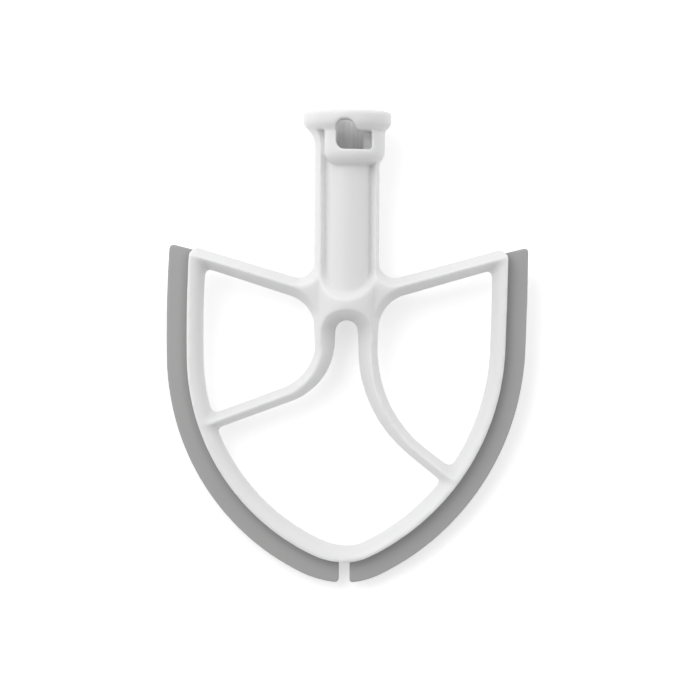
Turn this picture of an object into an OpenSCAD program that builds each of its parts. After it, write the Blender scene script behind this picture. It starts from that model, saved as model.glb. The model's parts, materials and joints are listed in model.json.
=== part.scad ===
// Flat beater for a stand mixer: a moulded frame with a bayonet socket at the
// top, and two flexible wings held in a groove round the outside of its loop.
// The beater lies on its back on a level surface. Its hub runs along Y, with the
// collar toward +Y, and +Z is up.

/* [Socket] */
// Radius of the shaft bore
bore_r = 6.55; // [6:0.05:7]
// Depth of the shaft bore below the collar's top
bore_depth = 52; // [40:1:60]
// Radius of the round hub
hub_r = 13.3; // [13:0.05:13.5]
// Radius of the collar round the mouth
collar_r = 18.04; // [17:0.01:19]
// Height of the collar's upper face above the origin
collar_top = 0.25; // [0:0.05:0.8]
// Radius of the collar's top corner
collar_round = 1.6; // [1.2:0.1:2]
// How far below the top the collar's straight side ends
collar_side = 3.5; // [3.2:0.1:4.2]
// Radius that turns the collar's side inward
collar_turn = 3.5; // [2.5:0.1:4]
// Radius of the fillet between the collar and the hub
collar_fillet = 8; // [7:0.1:9]
// Half width of the groove that lets the shaft's pin in
entry_half = 2.7; // [2.5:0.05:3]
// Radius that the pin's tip sweeps
entry_reach = 10.6; // [10:0.1:11]
// Direction of the entry groove, up from +X
entry_angle = 28; // [20:1:35]
// Radius of the notch that seats the pin
notch_r = 3.8; // [3.3:0.05:4]
// Place of the notch across the hub
notch_x = -1.1; // [-2:0.1:0]
// Depth of the notch's top below the collar's top
notch_top = 3.3; // [3:0.1:4]

/* [Pin block] */
// Radius of the raised block that the pin turns in, about the hub's axis
block_r = 15.45; // [14.5:0.05:16]
// Left side of the block
block_left = -8.9; // [-9.5:0.1:-8]
// How far below the top the block ends
block_end = 21.2; // [20:0.1:23]
// Radius of the block's lower edge
block_round = 5.45; // [4:0.05:6]
// Left side of the window in the block
window_left = -4.35; // [-4.8:0.05:-4]
// Right side of the window
window_right = 9.85; // [9:0.05:10.5]
// Depth of the window's upper side below the top
window_top = 7.7; // [7.5:0.1:8.5]
// Depth of the window's lower side below the top
window_end = 15.4; // [14.5:0.1:16]

/* [Loop] */
// Distance from the collar's top to the lowest point of the rim
tip_y = 183.54; // [175:0.1:195]
// Radius of the left side's lower arc
left_r1 = 31.4; // [28:0.1:36]
// Turn of the left side's lower arc, in degrees
left_t1 = 25.7; // [23:0.1:28]
// Radius of the left side's middle arc
left_r2 = 90.5; // [85:0.1:95]
// Turn of the left side's middle arc, in degrees
left_t2 = 63.3; // [60:0.1:65]
// Radius of the left side's upper arc
left_r3 = 535.6; // [450:1:650]
// Radius of the right side's lower arc
right_r1 = 22.4; // [20:0.1:26]
// Turn of the right side's lower arc, in degrees
right_t1 = 26.1; // [24:0.1:28]
// Radius of the right side's middle arc
right_r2 = 98.2; // [94:0.1:103]
// Turn of the right side's middle arc, in degrees
right_t2 = 61.9; // [59:0.1:64]
// Radius of the right side's upper arc
right_r3 = 1203.5; // [900:1:1500]
// Width of the rim
rim_w = 6.3; // [6:0.1:7]
// Width of the rim on its left side
left_w = 6.6; // [6.3:0.1:7]
// Width of the rim on its right side
right_w = 6; // [5.6:0.1:6.3]
// Half the height of the rim, arms and legs at their crests
crest = 7.2; // [6.5:0.1:8]
// Half the height of the edges round the openings
edge = 0.6; // [0.4:0.1:0.8]
// Radius along the rim's outer edges
rim_round = 0.7; // [0.4:0.1:0.9]
// Radius of the rim's upper corners, seen from above
rim_corner = 3.6; // [2.5:0.1:4.5]

/* [Arms and legs] */
// Slope of the left arm's upper side
left_over_m = 0.2942; // [0.25:0.001:0.32]
// Height at which the left arm's upper side would meet the axis
left_over_b = -72.86; // [-75:0.01:-71]
// Slope of the left arm's lower side
left_under_m = 0.3244; // [0.29:0.001:0.34]
// Height at which the left arm's lower side would meet the axis
left_under_b = -82.07; // [-84:0.01:-80]
// Slope of the right arm's upper side
right_over_m = 0.2761; // [0.25:0.001:0.32]
// Height at which the right arm's upper side would meet the axis
right_over_b = -72.58; // [-75:0.01:-71]
// Slope of the right arm's lower side
right_under_m = 0.2942; // [0.28:0.001:0.34]
// Height at which the right arm's lower side would meet the axis
right_under_b = -81.17; // [-84:0.01:-80]
// Radius of the fillet between the hub and the arms
over_fillet = 6.3; // [5:0.1:8]
// Radius of the fillet between the arms and the legs
under_fillet = 14.5; // [12:0.1:16]
// Distance from the legs' centre line to their outer sides
leg_out = 13; // [12.8:0.01:13.2]
// Distance from the legs' centre line to their inner sides
leg_in = 4.5; // [4:0.01:5]
// How far the legs stand to the right of the hub's axis
leg_shift = 0.2; // [0:0.05:0.4]
// Height of the centre of the arch between the legs
arch_y = -88.9; // [-91:0.1:-87]
// Height at which the round hub ends on the legs
hub_end = -94; // [-96:0.5:-92]

/* [Lower limbs] */
// Slope of the left limb's upper side
left_top_m = 0.3818; // [0.36:0.001:0.4]
// Height at which the left limb's upper side would meet the axis
left_top_b = -102.1; // [-104:0.01:-100]
// Slope of the left limb's lower side
left_low_m = 0.3703; // [0.35:0.001:0.39]
// Height at which the left limb's lower side would meet the axis
left_low_b = -109.6; // [-111:0.01:-108]
// Slope of the right limb's upper side
right_top_m = -0.7443; // [-0.77:0.001:-0.72]
// Height at which the right limb's upper side would meet the axis
right_top_b = -112.35; // [-114:0.01:-110]
// Slope of the right limb's lower side
right_low_m = -0.8087; // [-0.83:0.001:-0.79]
// Height at which the right limb's lower side would meet the axis
right_low_b = -118.79; // [-120:0.01:-117]
// Radii of the left limb's bends, upper and lower
left_bend = [20, 27]; // [18:0.5:30]
// Radii of the right limb's bends, upper and lower
right_bend = [50, 56]; // [46:0.5:60]

/* [Wings] */
// Width of the wings beside the rim
wing_w = 8.65; // [7.5:0.05:9.5]
// Width of the wings at the tip
wing_low_w = 9.3; // [8:0.05:10]
// Half thickness of the wings at the rim
wing_root = 1.3; // [1:0.05:1.5]
// Half thickness of the wings at their outer edges
wing_edge = 0.9; // [0.7:0.05:1.1]
// Depth of the wings' tongues in the rim
tongue = 2.5; // [2:0.1:3]
// Gap between the wings at the bottom
wing_gap = 4.4; // [3:0.1:6]
// How far the gap lies to the left of the middle
gap_shift = 0.35; // [0:0.05:0.5]

/* [Hidden] */

// Each side's rim, from the tip up: radius and turn of each arc.
left_rim = [[left_r1, left_t1], [left_r2, left_t2], [left_r3, 8]];
right_rim = [[right_r1, right_t1], [right_r2, right_t2], [right_r3, 8]];
rise = crest - edge;

// The beater rests on the collar and on the rim's lowest crest, which sets its tilt.
rest_a = tip_y - rim_round - collar_side;
rest_b = collar_r - collar_turn - crest;
tilt = asin(collar_turn / norm([rest_a, rest_b])) + atan2(rest_b, rest_a);
low_z = -(tip_y - rim_round) * sin(tilt) - crest * cos(tilt);
high_y = (collar_r - collar_round) * sin(tilt) + (collar_top - collar_round) * cos(tilt) + collar_round;
low_y = -(tip_y + wing_low_w) * cos(tilt) - wing_edge * sin(tilt);
mid_x = (rim_p(right_rim, 90, wing_w).x - rim_p(left_rim, 90, wing_w).x) / 2;

function unit(a) = [cos(a), sin(a)];

// Heading at which arc i of a rim begins, and its centre. A rim's heading is 0 at
// the tip, where it runs level, and 90 where it runs straight up.
function rim_head(rim, i) = i == 0 ? 0 : rim_head(rim, i - 1) + rim[i - 1][1];
function rim_c(rim, i) = i == 0 ? [0, rim[0][0] - tip_y] :
    rim_c(rim, i - 1) + (rim[i - 1][0] - rim[i][0]) * unit(rim_head(rim, i) - 90);
function rim_arc(rim, h) = h < rim_head(rim, 1) ? 0 : h < rim_head(rim, 2) ? 1 : 2;

// Point of a rim at a heading, moved outward by g.
function rim_p(rim, h, g) = let (i = rim_arc(rim, h)) rim_c(rim, i) + (rim[i][0] + g) * unit(h - 90);

// Headings at which a rim is drawn, from one heading to another.
function heads(rim, from, to) = let (
    a1 = rim_head(rim, 1), a2 = rim_head(rim, 2),
    all = concat([for (i = [0:1:5]) a1 * i / 6], [for (i = [0:1:29]) a1 + (a2 - a1) * i / 30],
        [for (i = [0:1:8]) a2 + i])
) [for (h = all) if (h > from + 0.15 && h < to - 0.15) h];

// An edge is [direction of its outward normal, distance from the axis point].
function above(m, b) = [90 + atan(m), b / sqrt(1 + m * m)];
function below(m, b) = [270 + atan(m), -b / sqrt(1 + m * m)];

// Where two edges meet, each moved inward by r.
function meet(e, f, r) = let (n = unit(e[0]), m = unit(f[0]), k = n.x * m.y - n.y * m.x)
    [((e[1] - r) * m.y - (f[1] - r) * n.y) / k, ((f[1] - r) * n.x - (e[1] - r) * m.x) / k];

// Heading at which arc i of a rim, moved outward by g, meets an edge moved inward
// by r: on the way up past the edge, or at the edge below.
function hit(rim, i, g, e, r, up) =
    let (v = asin((e[1] - r - rim_c(rim, i) * unit(e[0])) / (rim[i][0] + g)))
    up ? e[0] + v : e[0] - 180 - v;

// A station is a point of an outline and how it moves with height: along one
// direction by one bevel, and along a second direction by another. A bevel is
// [width at the crest, bulge].
still = [0, 0];
function station(p, a, bevel) = [p, unit(a), bevel, [0, 0], still];

// Stations round a corner of radius r between two directions. A fillet's radius
// grows with the bevel; a mitre keeps its radius, and its bevels meet in a crease.
function fillet(c, r, a, w, step = 7) = let (n = max(2, ceil(abs(a[1] - a[0]) / step)))
    [for (i = [0:1:n]) let (t = i / n, d = a[0] + (a[1] - a[0]) * t)
        station(c + r * unit(d), d, w[0] + (w[1] - w[0]) * t)];
function mitre(c, r, a, w) = let (
    n = max(2, ceil(abs(a[1] - a[0]) / 20)),
    e = unit(a[0]),
    f = unit(a[1]),
    k = e.x * f.y - e.y * f.x
) [for (i = [0:1:n]) [c + r * unit(a[0] + (a[1] - a[0]) * i / n), [f.y, -f.x] / k, w[0], [-e.y, e.x] / k, w[1]]];
function turn(e, f, r, w) = fillet(meet(e, f, r), r, [e[0], f[0]], w);
function along_rim(rim, from, to, g, w) =
    [for (h = heads(rim, from, to)) station(rim_p(rim, h, g), h - 90, w)];

// The rim's inner edge keeps the side's width, and goes over to the tip's width below it.
function along_inner(rim, side, from, to) = [for (h = heads(rim, from, to))
    station(rim_p(rim, h, -rim_w - (side - rim_w) * min(1, h / 22)), h - 90, rim_bevel)];

// Centre and directions of a corner between a rim moved outward by g and an edge:
// going up to the edge, and going from an edge below into the rim.
function corner_up(rim, i, g, e, r) = let (h = hit(rim, i, g - r, e, r, true))
    [rim_p(rim, h, g - r), r, [h - 90, e[0]], h];
function corner_in(rim, i, g, e, r) = let (h = hit(rim, i, g - r, e, r, false))
    [rim_p(rim, h, g - r), r, [e[0], h + 270], h];

function flip(s) = [for (i = [len(s) - 1:-1:0]) let (p = s[i])
    [[-p[0].x, p[0].y], [-p[1].x, p[1].y], p[2], [-p[3].x, p[3].y], p[4]]];

// Width of a bevel at a height, as a share t of the rise from the edge to the crest.
function width(w, t) = w[0] * ((1 - w[1]) * t + w[1] * (t > 1 ? 1 : 1 - sqrt(1 - t * t)));
function moved(s, t) = s[0] + s[1] * width(s[2], t) + s[3] * width(s[4], t);

// Solid through level rings of equal length, from the lowest up.
module skin(rings) {
    n = len(rings[0]);
    m = len(rings);
    polyhedron(
        points = [for (r = rings) each r],
        faces = concat(
            [[for (i = [0:1:n - 1]) i]],
            [for (k = [0:1:m - 2], i = [0:1:n - 1]) let (j = (i + 1) % n)
                [k * n + i, k * n + n + i, k * n + n + j, k * n + j]],
            [[for (i = [n - 1:-1:0]) (m - 1) * n + i]]),
        convexity = 8);
}

// Cutter of an opening: narrowest at mid height, and wider above and below by the bevels.
module funnel(s, top) {
    ts = [0, 0.4, 0.7, 0.9, 1, top];
    zs = concat([for (i = [5:-1:0]) [-1, ts[i]]], [for (i = [0:1:5]) [1, ts[i]]]);
    skin([for (z = zs) [for (p = s) let (q = moved(p, z[1])) [q.x, q.y, z[0] * (edge + rise * z[1])]]]);
}

rim_bevel = [6, 0.7];

// Opening between an arm, a leg, a lower limb and the rim, drawn on the right.
// lip has the bevel widths at the arm's two ends, the leg's two ends and the limb.
function side_opening(rim, rim_side, under, leg, limb, bend, lip, r) = let (
    side = [180, -leg],
    up = corner_up(rim, 2, -rim_side, under, r),
    low = corner_in(rim, 1, -rim_side, limb, r)
) concat(
    along_inner(rim, rim_side, low[3], up[3]),
    mitre(up[0], r, up[2], [rim_bevel, [lip[0], 0]]),
    turn(under, side, under_fillet, [[lip[1], 0], [lip[2], 0]]),
    turn(side, limb, bend, [[lip[3], 0], [lip[4], 0]]),
    mitre(low[0], r, low[2], [[lip[4], 0], rim_bevel]));

left_opening = side_opening(left_rim, left_w, above(left_under_m, left_under_b), leg_out - leg_shift,
    below(-left_top_m, left_top_b), left_bend[0], [3.6, 4.4, 2.25, 2.4, 2.9], 2);
right_opening = side_opening(right_rim, right_w, above(right_under_m, right_under_b), leg_out + leg_shift,
    below(right_top_m, right_top_b), right_bend[0], [3.4, 4.2, 2.3, 3.3, 3.5], 1.9);

// Half of the opening under the legs, from the tip up to the arch, drawn on the right.
// lip is the limb's bevel.
function low_half(rim, rim_side, shift, limb, bend, lip, r) = let (
    side = [0, leg_in + shift],
    up = corner_up(rim, 1, -rim_side, limb, r)
) concat(
    [station(rim_p(rim, 0, -rim_w), -90, rim_bevel)],
    along_inner(rim, rim_side, 0, up[3]),
    mitre(up[0], r, up[2], [rim_bevel, lip]),
    turn(limb, side, -bend, [lip, [5.9, 0]]),
    [station([shift + leg_in, arch_y - 1.5], 0, [5.9, 0])],
    [for (a = [0:9:81]) station([shift, arch_y] + leg_in * unit(a), a, [2.55 + 3 * (1 - sin(a)), 0])]);

low_right = low_half(right_rim, right_w, leg_shift, above(right_low_m, right_low_b), right_bend[1], [3.7, 0], 1);
low_left = low_half(left_rim, left_w, -leg_shift, above(-left_low_m, left_low_b), left_bend[1], [3.8, 0.3], 1.2);
low_opening = concat(
    low_right,
    [station([leg_shift, arch_y + leg_in], 90, [2.55, 0])],
    flip([for (i = [1:1:len(low_left) - 1]) low_left[i]]));

// Space over an arm, drawn on the right.
function over_arm(m, b) = let (e = below(m, b), w = [3.35, 0]) concat(
    turn([180, -hub_r], e, over_fillet, [w, w]),
    [station([82, 82 * m + b], e[0], w), station([82, -40], 45, still), station([hub_r, -40], 180, w)]);

// Outline of the plate that the openings are cut from, drawn on the right.
function plate_half(rim, m, b) = let (e = above(m, b + 0.3), up = corner_up(rim, 2, 0, e, rim_corner)) concat(
    along_rim(rim, 0, up[3], 0, still),
    fillet(up[0], rim_corner, up[2], [still, still], 12),
    [station([28, 28 * m + b + 0.3], e[0], still), station([11.5, -57], 90, still)]);

plate_outline = concat(
    [station([0, -tip_y], -90, still)],
    plate_half(right_rim, right_over_m, right_over_b),
    flip(plate_half(left_rim, left_over_m, left_over_b)));

module plate() {
    tops = [for (a = [0, 30, 60, 90]) [rim_round * (1 - cos(a)), crest - rim_round * (1 - sin(a))]];
    levels = concat([for (i = [3:-1:0]) [tops[i][0], -tops[i][1]]], tops);
    skin([for (l = levels) [for (p = plate_outline) let (q = p[0] - p[1] * l[0]) [q.x, q.y, l[1]]]]);
}

// Plate with the side openings and the slanted upper sides of the arms.
module open_plate() {
    difference() {
        plate();
        funnel(right_opening, 1.2);
        mirror([1, 0, 0])
            funnel(left_opening, 1.2);
        funnel(over_arm(right_over_m, right_over_b), 1.2);
        mirror([1, 0, 0])
            funnel(over_arm(left_over_m, left_over_b), 1.2);
    }
}

// Outline drawn across the hub, extruded along it from y1 up to y2.
module down_hub(y1, y2) {
    translate([0, y1, 0])
        rotate([-90, 0, 0])
            linear_extrude(y2 - y1)
                children();
}

// Collar: flat top, round corners, and a flare back to the hub.
module collar() {
    side = [collar_r - collar_turn, -collar_side];
    low = side + collar_turn * unit(-45);
    in_r = hub_r + collar_fillet;
    fillet = [in_r, low.y - (low.x - in_r) - collar_fillet * 2 * cos(45)];
    rotate([-90, 0, 0])
        rotate_extrude($fn = 72)
            polygon(concat(
                [[0, collar_top]],
                [for (a = [90:-15:0]) [collar_r - collar_round, collar_top - collar_round] + collar_round * unit(a)],
                [for (a = [0:-9:-45]) side + collar_turn * unit(a)],
                [for (a = [135:9:180]) fillet + collar_fillet * unit(a)],
                [[0, fillet.y]]));
}

// Recess in the hub's face, with slanted walls and a round floor. The outline is
// drawn 10 mm above the hub's axis, and the walls widen upward by the slope.
recess_slope = 1.03;
recess_floor = 10;
recess_left = -13.3;
recess_right = 16.2;
recess_low = -72.3;
recess_top = -7.3;
module recess() {
    r = 7.5;
    s = concat(
        [station([recess_right, recess_top], 0, still), station([recess_left, recess_top], 180, still)],
        fillet([recess_left + r, recess_low + r], r, [180, 270], [still, still]),
        fillet([recess_right - r, recess_low + r], r, [270, 360], [still, still]));
    difference() {
        skin([for (z = [3, 19]) [for (p = s) let (g = (z - 10) * recess_slope)
            [p[0].x + p[1].x * g, p[0].y + min(0, p[1].y) * g, z]]]);
        down_hub(-80, 0) circle(recess_floor, $fn = 72);
    }
}

// Raised block round the front of the socket, in which the shaft's pin turns. It
// is turned about the hub's axis, and its left side and lower corner are round.
module block() {
    side_round = 2;
    corner_round = 5;
    low = -block_end + block_round;
    round_x = block_left + side_round;
    top_a = acos(round_x / (block_r - side_round));
    round_c = (block_r - side_round) * unit(top_a);
    intersection() {
        rotate([-90, 0, 0])
            rotate_extrude($fn = 72)
                union() {
                    translate([5, low])
                        square([block_r - 5, -low - 7]);
                    translate([5, -block_end])
                        square([block_r - block_round - 5, block_end - 7]);
                    translate([block_r - block_round, low])
                        circle(block_round, $fn = 40);
                }
        translate([block_left, -block_end - 1, 0])
            linear_extrude(20)
                union() {
                    translate([0, corner_round + 1])
                        square([30, 20]);
                    translate([corner_round, 0])
                        square([25, 20]);
                    translate([corner_round, corner_round + 1])
                        circle(corner_round, $fn = 40);
                }
        down_hub(-block_end - 2, -7)
            mirror([0, 1])
                polygon(concat(
                    [[22, 0], [block_left, 0]],
                    [for (a = [180:-12:top_a + 8]) round_c + side_round * unit(a)],
                    [24 * unit(top_a), [22, 24]]));
    }
}

// Outline of the notch at one height. Its left corner has the centre c, and its
// right corner lies further right by `run` and goes over into a slanted side,
// which faces the direction a.
function notch_ring(z, r, c, run, a) = let (
    foot_y = -8.6,
    d = c + [run, 0],
    foot = d.x + r * cos(a) + (d.y + r * sin(a) - foot_y) * tan(a),
    left = c.x - r) concat(
        [for (i = [0:6]) let (t = a + (90 - a) * i / 6) [d.x + r * cos(t), d.y + r * sin(t), z]],
        [for (t = [90:7.5:180]) [c.x + r * cos(t), c.y + r * sin(t), z]],
        [[left, foot_y + 0.6, z], [left + 0.55, foot_y, z], [left + 0.55, -10.5, z]],
        [[foot, -10.5, z], [foot, foot_y, z]]);

// Window in the block, with one round corner, and the notch that seats the pin.
module window() {
    r = 3.3;
    linear_extrude(22) {
        translate([window_left, -window_end + r])
            square([window_right - window_left, window_end - window_top - r]);
        translate([window_left + r, -window_end])
            square([window_right - window_left - r, window_end - window_top]);
        translate([window_left + r, -window_end + r])
            circle(r, $fn = 48);
    }
    skin([
        notch_ring(5, 2, [notch_x - 0.85, -notch_top - 2.1], 2.4, 15),
        notch_ring(18.5, notch_r, [notch_x, -notch_top - notch_r], 0.5, 42)]);
}

// Groove down the collar's inside, through which the pin goes in.
module entry() {
    intersection() {
        down_hub(-12, 1)
            rotate(-entry_angle)
                translate([0, -entry_half])
                    square([entry_reach + 2, 2 * entry_half]);
        down_hub(-13, 2)
            circle(entry_reach, $fn = 72);
    }
}

// Wing before it is set down. Its section runs from the tongue to the outer edge.
module wing_solid(rim, half_gap, top, r_top, r_gap) {
    fall = (wing_root - wing_edge) / wing_w;
    section = [[-tongue, -wing_root + 0.1], [0, -wing_root], [wing_w + 2, -wing_root + fall * (wing_w + 2)],
        [wing_w + 2, wing_root - fall * (wing_w + 2)], [0, wing_root], [-tongue, wing_root - 0.1]];
    hs = concat([-6], [0], heads(rim, 0, 100));
    loft = [for (h = hs) [for (q = section) let (p = rim_p(rim, h, q[0])) [p.x, p.y, q[1]]]];
    n = len(section);
    m = len(hs);
    low = corner_in(rim, 0, wing_low_w, [180, -half_gap], r_gap);
    up = corner_up(rim, 2, wing_w, top, r_top);
    end_h = hit(rim, 2, -rim_w, top, 0, true);
    inner = heads(rim, 4, end_h);
    outline = concat(
        [for (s = fillet(low[0], r_gap, low[2], [still, still], 18)) s[0]],
        [for (h = heads(rim, low[3], up[3]))
            rim_p(rim, h, wing_low_w + (wing_w - wing_low_w) * min(1, max(0, (h - 35) / 45)))],
        [for (s = fillet(up[0], r_top, up[2], [still, still], 18)) s[0]],
        [rim_p(rim, end_h, -rim_w)],
        [for (i = [len(inner) - 1:-1:0]) rim_p(rim, inner[i], -rim_w)],
        [[half_gap, rim_w - tip_y]]);
    intersection() {
        polyhedron(
            points = [for (r = loft) each r],
            faces = concat(
                [[for (i = [n - 1:-1:0]) i]],
                [for (k = [0:1:m - 2], i = [0:1:n - 1]) let (j = (i + 1) % n)
                    [k * n + i, k * n + j, k * n + n + j, k * n + n + i]],
                [[for (i = [0:1:n - 1]) (m - 1) * n + i]]),
            convexity = 4);
        translate([0, 0, -3])
            linear_extrude(6)
                polygon(outline);
    }
}

module left_wing_solid() {
    mirror([1, 0, 0])
        wing_solid(left_rim, wing_gap / 2 + gap_shift, above(0.247, -71.24), 1.7, 1.6);
}

module right_wing_solid() {
    wing_solid(right_rim, wing_gap / 2 - gap_shift, above(0.25, -72.8), 1.5, 1.2);
}

module frame_solid() {
    difference() {
        union() {
            difference() {
                union() {
                    open_plate();
                    collar();
                    down_hub(hub_end, -8) circle(hub_r, $fn = 72);
                }
                recess();
                mirror([0, 0, 1])
                    recess();
            }
            block();
        }
        funnel(low_opening, 2.1);
        down_hub(-bore_depth, 1) circle(bore_r, $fn = 72);
        window();
        entry();
        left_wing_solid();
        right_wing_solid();
    }
}

// Sets the beater down on its back, with the middle of its footprint at the origin.
module set_down() {
    translate([-mid_x, -(high_y + low_y) / 2, -low_z])
        rotate([tilt, 0, 0])
            children();
}

module beater_frame() {
    color([0.93, 0.93, 0.93])
        set_down() frame_solid();
}

module left_wing() {
    color([0.63, 0.63, 0.63])
        set_down() left_wing_solid();
}

module right_wing() {
    color([0.63, 0.63, 0.63])
        set_down() right_wing_solid();
}

beater_frame();
left_wing();
right_wing();
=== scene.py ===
# %% [markdown]
# A flat beater lies on a white table and is seen from straight above. It has a white
# moulded frame, a hub that slides on a mixer's shaft, and a soft grey wing along each
# side of the loop. This lesson loads the finished CAD model, keeps its solids, and gives
# them the soft edges, materials, light and camera of a product picture.

# %% Load the CAD model
import json
import math

import bpy
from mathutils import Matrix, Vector


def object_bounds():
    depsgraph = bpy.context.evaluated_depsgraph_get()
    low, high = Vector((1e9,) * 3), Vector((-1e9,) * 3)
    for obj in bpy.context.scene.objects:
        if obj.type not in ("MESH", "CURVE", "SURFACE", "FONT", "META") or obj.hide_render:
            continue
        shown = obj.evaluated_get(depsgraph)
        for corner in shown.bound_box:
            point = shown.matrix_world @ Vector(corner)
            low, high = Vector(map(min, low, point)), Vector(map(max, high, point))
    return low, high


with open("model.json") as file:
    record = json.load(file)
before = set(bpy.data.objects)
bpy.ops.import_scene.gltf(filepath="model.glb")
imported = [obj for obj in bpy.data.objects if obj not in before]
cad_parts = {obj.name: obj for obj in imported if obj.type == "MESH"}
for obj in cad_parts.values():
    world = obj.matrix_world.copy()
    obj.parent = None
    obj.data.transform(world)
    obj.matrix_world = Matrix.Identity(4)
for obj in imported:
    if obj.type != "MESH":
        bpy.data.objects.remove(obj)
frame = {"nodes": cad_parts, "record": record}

cad_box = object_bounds()
nodes = frame["nodes"]
mm = 0.001

low, high = (Vector(corner) for corner in cad_box)
print("parts:", sorted(nodes), "size in mm:", [round(side / mm, 1) for side in high - low])

# %% [markdown]
# The real frame comes out of a mould with soft edges, and its arms melt into the rim.
# The CAD solid has the right form, but its bevels meet in creases. Rounding every edge
# with a Bevel modifier fails where many small faces meet. A voxel Remesh instead wraps
# the whole solid in an even skin, and a Smooth modifier then relaxes that skin, so that
# each crease turns into a small fillet. Modifiers leave the CAD mesh itself unchanged.

# %% Wrap each part in a soft skin
def soften(name, voxel, rounds):
    part = nodes[name]
    skin = part.modifiers.new("moulded_skin", "REMESH")
    skin.mode = "VOXEL"
    skin.voxel_size = voxel
    skin.use_smooth_shade = True
    relax = part.modifiers.new("soft_edges", "SMOOTH")
    relax.factor = 0.5
    relax.iterations = rounds
    return part


frame_voxel, frame_rounds = 0.55 * mm, 3
wing_voxel, wing_rounds = 0.4 * mm, 4

beater = soften("beater_frame", frame_voxel, frame_rounds)
wings = [soften(name, wing_voxel, wing_rounds) for name in ("left_wing", "right_wing")]
for part in (beater, *wings):
    print(part.name, "has", [modifier.name for modifier in part.modifiers])

# %% [markdown]
# The rounder limbs, the plastic, the table and the light are all built of nodes, and the
# same few nodes come back in each. Written out in full, every one takes four lines or
# more and hides the idea. These helpers add a node, feed its sockets with links or plain
# values, and hand back its output, so that a node tree reads like a sum.

# %% Helpers that add a node
def feed(tree, socket, value):
    if isinstance(value, bpy.types.NodeSocket):
        tree.links.new(value, socket)
    else:
        socket.default_value = value


def feed_all(tree, node, values):
    for name, value in values.items():
        feed(tree, node.inputs[name], value)


def maths(tree, operation, *values):
    node = tree.nodes.new("ShaderNodeMath")
    node.operation = operation
    for socket, value in zip(node.inputs, values):
        feed(tree, socket, value)
    return node.outputs["Value"]


def vector_maths(tree, operation, *values):
    node = tree.nodes.new("ShaderNodeVectorMath")
    node.operation = operation
    for socket, value in zip(node.inputs, values):
        feed(tree, socket, value)
    gives_number = operation in ("DISTANCE", "DOT_PRODUCT", "LENGTH")
    return node.outputs["Value" if gives_number else "Vector"]


def ramp(tree, value, start, stop, first=0.0, last=1.0):
    node = tree.nodes.new("ShaderNodeMapRange")
    limits = {"From Min": start, "From Max": stop, "To Min": first, "To Max": last}
    feed_all(tree, node, {"Value": value, **limits})
    return node.outputs["Result"]


def mix(tree, kind, factor, first, second):
    node = tree.nodes.new("ShaderNodeMix")
    node.data_type = kind
    feed_all(tree, node, {"Factor": factor, "A": first, "B": second})
    return node.outputs["Result"]


print("helpers:", [helper.__name__ for helper in (feed, feed_all, maths, vector_maths, ramp, mix)])

# %% [markdown]
# The arms, the legs and the loop are rounder than the hub: on the real part their bevels
# run into each other with hardly a line. More rounds of the Smooth modifier would also
# wash out the crisp window in the hub. Geometry Nodes can blur the place of each point
# by as much as a mask says. This mask is full on the limbs and fades out toward the hub.
# It leaves out the arch between the legs, where the real bevel has a clear edge.

# %% Round the limbs more than the hub
def blur_places(part, title, rounds, mask):
    group = bpy.data.node_groups.new(title, "GeometryNodeTree")
    for way in ("INPUT", "OUTPUT"):
        group.interface.new_socket("Geometry", in_out=way, socket_type="NodeSocketGeometry")
    start = group.nodes.new("NodeGroupInput")
    end = group.nodes.new("NodeGroupOutput")
    place = group.nodes.new("GeometryNodeInputPosition").outputs["Position"]
    blur = group.nodes.new("GeometryNodeBlurAttribute")
    blur.data_type = "FLOAT_VECTOR"
    feed_all(group, blur, {"Value": place, "Iterations": rounds})
    moved = mix(group, "VECTOR", mask(group, place), place, blur.outputs["Value"])
    move = group.nodes.new("GeometryNodeSetPosition")
    feed_all(group, move, {"Geometry": start.outputs["Geometry"], "Position": moved})
    group.links.new(move.outputs["Geometry"], end.inputs["Geometry"])
    part.modifiers.new(title, "NODES").node_group = group


limbs_full, limbs_none = 20 * mm, 35 * mm
arch_middle = Vector((0.0, 14 * mm, 16 * mm))
arch_reach, arch_fade = 12 * mm, 16 * mm
limb_rounds = 8


def limbs_mask(tree, place):
    split = tree.nodes.new("ShaderNodeSeparateXYZ")
    tree.links.new(place, split.inputs["Vector"])
    below_hub = ramp(tree, split.outputs["Y"], limbs_none, limbs_full)
    from_arch = vector_maths(tree, "DISTANCE", place, arch_middle)
    return maths(tree, "MULTIPLY", below_hub, ramp(tree, from_arch, arch_reach, arch_fade))


blur_places(beater, "softer_arms", limb_rounds, limbs_mask)
print("limbs fully blurred below y =", round(limbs_full / mm), "mm, by", limb_rounds, "rounds")

# %% [markdown]
# Each leg leaves the middle of the frame beside the arch. On the real part its outer
# bevel flows on there, while the CAD's bevel starts with a small step. The same blur
# with many more rounds melts the step away. Its mask is a ball round each of the two
# places, so that nothing else loses its form.

# %% Melt the step at the root of each leg
root_side, root_along, root_height = 11.4 * mm, 2.5 * mm, 16 * mm
root_full, root_none = 4 * mm, 9 * mm
root_rounds = 30


def leg_roots_mask(tree, place):
    masks = []
    for side in (-root_side, root_side):
        root = Vector((side, root_along, root_height))
        from_root = vector_maths(tree, "DISTANCE", place, root)
        masks.append(ramp(tree, from_root, root_none, root_full))
    return maths(tree, "MAXIMUM", *masks)


blur_places(beater, "softer_leg_roots", root_rounds, leg_roots_mask)
print("leg roots blurred within", round(root_none / mm), "mm, by", root_rounds, "rounds")

# %% [markdown]
# The even skin spends as many triangles on a flat stretch as on a tight corner. Larger
# voxels would lose the corners. The Decimate modifier takes away the edges that carry
# the least form instead, so the frame looks the same with a third fewer triangles.

# %% Thin out the frame's triangles
def count_triangles(part):
    evaluated = part.evaluated_get(bpy.context.evaluated_depsgraph_get())
    return sum(len(face.vertices) - 2 for face in evaluated.data.polygons)


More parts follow.
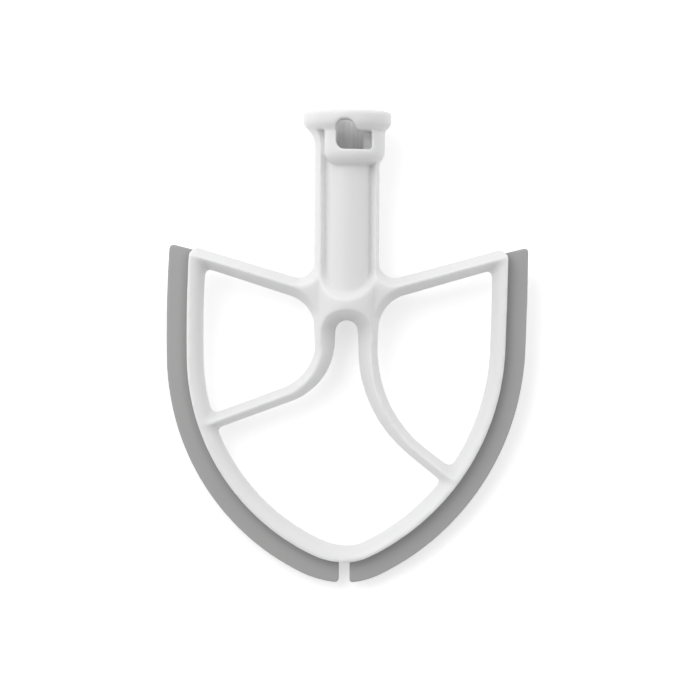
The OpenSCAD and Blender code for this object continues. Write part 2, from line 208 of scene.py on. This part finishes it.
kept_share = 0.65
beater.modifiers.new("fewer_triangles", "DECIMATE").ratio = kept_share
for part in (beater, *wings):
    print(part.name, "triangles:", count_triangles(part))

# %% [markdown]
# A moulded surface is never a perfect mirror of its mould: under a lens it has a fine,
# even grain, and its gloss changes a little from place to place. Both finishes here need
# this at their own scale, so it is built once as a shader node group and placed in each
# material with other values. A fine noise drives the bump, and a wide one the roughness.

# %% A shared grain for moulded surfaces
def new_group(name, inputs, outputs):
    group = bpy.data.node_groups.new(name, "ShaderNodeTree")
    for title, kind, value in inputs:
        socket = group.interface.new_socket(title, in_out="INPUT", socket_type=kind)
        socket.default_value = value
    for title, kind in outputs:
        group.interface.new_socket(title, in_out="OUTPUT", socket_type=kind)
    start = group.nodes.new("NodeGroupInput")
    end = group.nodes.new("NodeGroupOutput")
    return group, start.outputs, end.inputs


def noise(tree, place, scale, detail):
    node = tree.nodes.new("ShaderNodeTexNoise")
    feed_all(tree, node, {"Vector": place, "Scale": scale, "Detail": detail})
    return node.outputs["Fac"]


grain_detail = 2.0
clouds_per_metre = 90.0


def moulded_grain():
    group, start, end = new_group(
        "moulded_grain",
        [
            ("Grains per Metre", "NodeSocketFloat", 1500.0),
            ("Depth", "NodeSocketFloat", 0.02 * mm),
            ("Roughness", "NodeSocketFloat", 0.4),
            ("Spread", "NodeSocketFloat", 0.05),
        ],
        [("Roughness", "NodeSocketFloat"), ("Normal", "NodeSocketVector")],
    )
    place = group.nodes.new("ShaderNodeTexCoord").outputs["Object"]
    grain = noise(group, place, start["Grains per Metre"], grain_detail)
    bump = group.nodes.new("ShaderNodeBump")
    feed_all(group, bump, {"Height": grain, "Distance": start["Depth"]})
    group.links.new(bump.outputs["Normal"], end["Normal"])
    clouds = noise(group, place, clouds_per_metre, grain_detail)
    around = maths(group, "SUBTRACT", clouds, 0.5)
    rough = maths(group, "MULTIPLY_ADD", around, start["Spread"], start["Roughness"])
    group.links.new(rough, end["Roughness"])
    return group


grain_group = moulded_grain()
print("group:", grain_group.name, [item.name for item in grain_group.interface.items_tree])

# %% [markdown]
# The hub's bore is drawn out along its axis when the core pin leaves the mould, and the
# steel shaft later rubs it the same way, so its wall has fine lines along it. A noise
# texture that is stretched along the axis draws them. The axis, the radius and the
# length come from the record's own bore, so the lines lie where the bore is.

# %% Measure the bore and split a place along its axis
bore = next(mount for mount in frame["record"]["mounts"] if mount["name"] == "shaft_bore")
bore_point, bore_axis = Vector(bore["pos_m"]), Vector(bore["axis"])
bore_radius = bore["dims"]["r_mm"] * mm
bore_half = bore["dims"]["length_mm"] * mm / 2


def along_and_across(tree):
    place = tree.nodes.new("ShaderNodeTexCoord").outputs["Object"]
    offset = vector_maths(tree, "SUBTRACT", place, bore_point)
    along = vector_maths(tree, "PROJECT", offset, bore_axis)
    return along, vector_maths(tree, "SUBTRACT", offset, along)


print("bore radius and half length in mm:", round(bore_radius / mm, 2), round(bore_half / mm, 2))

# %% [markdown]
# The lines must stay on the wall of the bore: the frame is one piece with one material,
# and lines anywhere else would look like scratches. A mask does that, with no need for a
# second material: it is full within the bore's radius and half length, and it fades out
# over a fraction of a millimetre beyond them. The group gives out the masked colour.

# %% Lines along the wall of the bore
lines_along, lines_across = 25.0, 1300.0
lines_detail = 3.0
faint_line, strong_line = 0.4, 0.65
mask_full, mask_none = 0.2 * mm, 0.5 * mm


def drawn_bore():
    group, start, end = new_group(
        "drawn_bore",
        [
            ("Colour", "NodeSocketColor", (0.8, 0.8, 0.8, 1.0)),
            ("Line Colour", "NodeSocketColor", (0.6, 0.6, 0.6, 1.0)),
            ("Radius", "NodeSocketFloat", bore_radius),
            ("Half Length", "NodeSocketFloat", bore_half),
        ],
        [("Colour", "NodeSocketColor")],
    )
    along, across = along_and_across(group)
    slow = vector_maths(group, "MULTIPLY", along, Vector.Fill(3, lines_along))
    fast = vector_maths(group, "MULTIPLY", across, Vector.Fill(3, lines_across))
    lines = noise(group, vector_maths(group, "ADD", slow, fast), 1.0, lines_detail)
    strong = ramp(group, lines, faint_line, strong_line)
    past_wall = maths(group, "SUBTRACT", vector_maths(group, "LENGTH", across), start["Radius"])
    past_end = maths(group, "SUBTRACT", vector_maths(group, "LENGTH", along), start["Half Length"])
    inside = ramp(group, maths(group, "MAXIMUM", past_wall, past_end), mask_none, mask_full)
    amount = maths(group, "MULTIPLY", strong, inside)
    lined = mix(group, "RGBA", amount, start["Colour"], start["Line Colour"])
    group.links.new(lined, end["Colour"])
    return group


bore_group = drawn_bore()
print("group:", bore_group.name, [item.name for item in bore_group.interface.items_tree])

# %% [markdown]
# The frame and the wings both come out of a mould, so one function makes the base of
# both finishes: a Principled BSDF with the shared grain on its roughness and its normal.
# What is the same all over the surface is set on the shader, and the group feeds what
# changes from place to place.

# %% The base of a moulded finish
def moulded_material(name, specular, grain_values):
    material = bpy.data.materials.new(name)
    material.use_nodes = True
    tree = material.node_tree
    shader = tree.nodes["Principled BSDF"]
    shader.inputs["Specular IOR Level"].default_value = specular
    grain = tree.nodes.new("ShaderNodeGroup")
    grain.node_tree = grain_group
    feed_all(tree, grain, grain_values)
    tree.links.new(grain.outputs["Roughness"], shader.inputs["Roughness"])
    tree.links.new(grain.outputs["Normal"], shader.inputs["Normal"])
    return material, tree, shader


def dress(part, material):
    for slot in part.material_slots:
        slot.material = material
    if not part.material_slots:
        part.data.materials.append(material)


print("material slots:", {part.name: len(part.material_slots) for part in (beater, *wings)})

# %% [markdown]
# The frame is a hard white plastic, white all through and glossy enough to hold a soft
# highlight. Light enters it a little and comes out nearby, which lifts the shade in its
# corners. Subsurface scattering over a few millimetres gives that, and a paler colour
# alone wouldn't. The bore's lines go into the same material through their mask.

# %% White plastic for the frame
white = (0.84, 0.84, 0.84, 1.0)
line_shade = (0.7, 0.7, 0.7, 1.0)
light_depth = 2.5 * mm
white_specular = 0.5
white_grain = {"Grains per Metre": 900.0, "Depth": 0.012 * mm, "Roughness": 0.36, "Spread": 0.05}

frame_white, white_tree, white_shader = moulded_material("frame_white", white_specular, white_grain)
lined_white = white_tree.nodes.new("ShaderNodeGroup")
lined_white.node_tree = bore_group
feed_all(white_tree, lined_white, {"Colour": white, "Line Colour": line_shade})
white_tree.links.new(lined_white.outputs["Colour"], white_shader.inputs["Base Color"])
white_shader.inputs["Subsurface Weight"].default_value = 0.8
white_shader.inputs["Subsurface Radius"].default_value = (1.0, 1.0, 1.0)
white_shader.inputs["Subsurface Scale"].default_value = light_depth
dress(beater, frame_white)
print("frame:", frame_white.name, "light enters", round(light_depth / mm, 1), "mm")

# %% [markdown]
# The wings are a matt grey rubber, with a deeper and finer grain. Shade is painted into
# the rubber's colour in the corner along the rim, where little light falls. A mask drawn
# in an image would need an image file. The Ambient Occlusion node measures how open each
# point is within a few millimetres, and a ramp turns that into the mix of a painted-shade grey and
# the rubber's own grey.

# %% Grey rubber for the wings, with painted shade along the rim
# The first grey is painted shade for the corner along the rim, the second the rubber's own grey.
painted_shade_grey = (0.3, 0.296, 0.296, 1.0)
open_grey = (0.43, 0.425, 0.425, 1.0)
painted_shade_width = 5 * mm
closed, fully_open = 0.45, 0.95
grey_specular = 0.35
grey_grain = {"Grains per Metre": 1600.0, "Depth": 0.03 * mm, "Roughness": 0.62, "Spread": 0.08}

wing_grey, grey_tree, grey_shader = moulded_material("wing_grey", grey_specular, grey_grain)
# The darker grey is painted shade, put where the Ambient Occlusion node finds the rim close by.
corner = grey_tree.nodes.new("ShaderNodeAmbientOcclusion")
corner.inputs["Distance"].default_value = painted_shade_width
openness = ramp(grey_tree, corner.outputs["AO"], closed, fully_open)
rubber = mix(grey_tree, "RGBA", openness, painted_shade_grey, open_grey)
grey_tree.links.new(rubber, grey_shader.inputs["Base Color"])
for wing in wings:
    dress(wing, wing_grey)
print("wings:", wing_grey.name, "darker within", round(painted_shade_width / mm, 1), "mm of the rim")

# %% [markdown]
# The beater lies on a plain white table. A table lit like the beater would render light
# grey, and stronger lamps would burn out the white frame. So the table adds a little
# light of its own, only for rays that come from the camera or a reflection: the bare
# table reaches white, and a shadow on it still shows.

# %% A white table that keeps the shadow
def seen_directly(tree):
    path = tree.nodes.new("ShaderNodeLightPath").outputs
    reflected = maths(tree, "MAXIMUM", path["Is Camera Ray"], path["Is Glossy Ray"])
    return maths(tree, "MAXIMUM", reflected, path["Is Transmission Ray"])


def table_material(shade, glow):
    material = bpy.data.materials.new("white_table")
    material.use_nodes = True
    tree = material.node_tree
    shader = tree.nodes["Principled BSDF"]
    shader.inputs["Roughness"].default_value = 0.9
    shader.inputs["Specular IOR Level"].default_value = 0.0
    shader.inputs["Emission Color"].default_value = (1.0, 1.0, 1.0, 1.0)
    seen = seen_directly(tree)
    tree.links.new(ramp(tree, seen, 0.0, 1.0, shade, 1.0), shader.inputs["Base Color"])
    tree.links.new(ramp(tree, seen, 0.0, 1.0, 0.0, glow), shader.inputs["Emission Strength"])
    return material


table_size = 6.0
table_shade = 0.8
table_glow = 0.38

bpy.ops.mesh.primitive_plane_add(size=table_size, location=(0.0, 0.0, low.z))
table = bpy.context.object
table.name = "table"
table.data.materials.append(table_material(table_shade, table_glow))
print("table:", table_size, "m wide, at height", round(table.location.z / mm, 3), "mm")

# %% [markdown]
# A light tent gives this kind of picture: white cloth on all sides, lit from outside. The
# cloth on the left, on the right and beyond the hub is bright, and the side toward the
# viewer is open and darker, so slopes that face it are the darkest. Large lamps would do
# it too, but the world plays the tent with less noise: each bright side adds light by
# the cosine of the angle to its direction. Seen directly, the tent is plain white.

# %% A light tent with three bright sides
def light_tent(level, sides):
    world = bpy.data.worlds.new("light_tent")
    bpy.context.scene.world = world
    world.use_nodes = True
    tree = world.node_tree
    cloth = tree.nodes["Background"]
    cloth.inputs["Color"].default_value = (1.0, 1.0, 1.0, 1.0)
    view = tree.nodes.new("ShaderNodeTexCoord").outputs["Generated"]
    total = level
    for toward, strength in sides:
        facing = maths(tree, "MAXIMUM", vector_maths(tree, "DOT_PRODUCT", view, toward), 0.0)
        total = maths(tree, "MULTIPLY_ADD", facing, strength, total)
    shown = ramp(tree, seen_directly(tree), 0.0, 1.0, total, 1.0)
    tree.links.new(shown, cloth.inputs["Strength"])
    return world


left, right, beyond = (-1.0, 0.0, 0.0), (1.0, 0.0, 0.0), (0.0, 1.0, 0.0)
tent_level = 0.15
tent_sides = ((left, 0.97), (right, 0.87), (beyond, 0.71))

tent = light_tent(tent_level, tent_sides)
print(tent.name, "level", tent_level, "sides", [strength for toward, strength in tent_sides])

# %% [markdown]
# A tent alone lights a thing so evenly that the eye finds no direction. One large round
# lamp above the hub's left adds it, as a window would. It is wide for its distance, so
# the shadows that it casts stay soft.

# %% One lamp above the left
def soft_lamp(name, direction, distance, size, power):
    data = bpy.data.lights.new(name, "AREA")
    data.shape = "DISK"
    data.size = size
    data.energy = power
    lamp = bpy.data.objects.new(name, data)
    toward = Vector(direction).normalized()
    lamp.location = toward * distance
    lamp.rotation_euler = toward.to_track_quat("Z", "Y").to_euler()
    bpy.context.collection.objects.link(lamp)
    return lamp


lamp_direction = (-0.45, 0.45, 0.77)
lamp_distance, lamp_size, lamp_power = 1.2, 0.8, 3.6

key_lamp = soft_lamp("key_lamp", lamp_direction, lamp_distance, lamp_size, lamp_power)
print("lamp at", [round(side, 2) for side in key_lamp.location], "power", key_lamp.data.energy)

# %% [markdown]
# The picture is taken from straight above, from about 0.7 m, so the tall hub leans a
# little outward in it. The lens follows from the distance and from how large the beater
# is in the picture. The camera is turned by a fraction of a degree, as if set by hand.

# %% The camera above the table
camera_height = 0.692
camera_side = 1.29 * mm
camera_along = -0.74 * mm
camera_turn = math.radians(0.3)
picture_side = 700
focal_pixels = 1658.0
sensor_side = 36.0

lens = bpy.data.cameras.new("overhead_camera")
lens.sensor_width = sensor_side
lens.lens = sensor_side * focal_pixels / picture_side
camera = bpy.data.objects.new("overhead_camera", lens)
camera.location = (camera_side, camera_along, camera_height)
camera.rotation_euler = (0.0, 0.0, camera_turn)
bpy.context.collection.objects.link(camera)
bpy.context.scene.camera = camera
bpy.context.scene.view_settings.view_transform = "Standard"
print("lens:", round(lens.lens, 2), "mm")

# %% [markdown]
# The last cell marks the end of the script.


print("scene built")
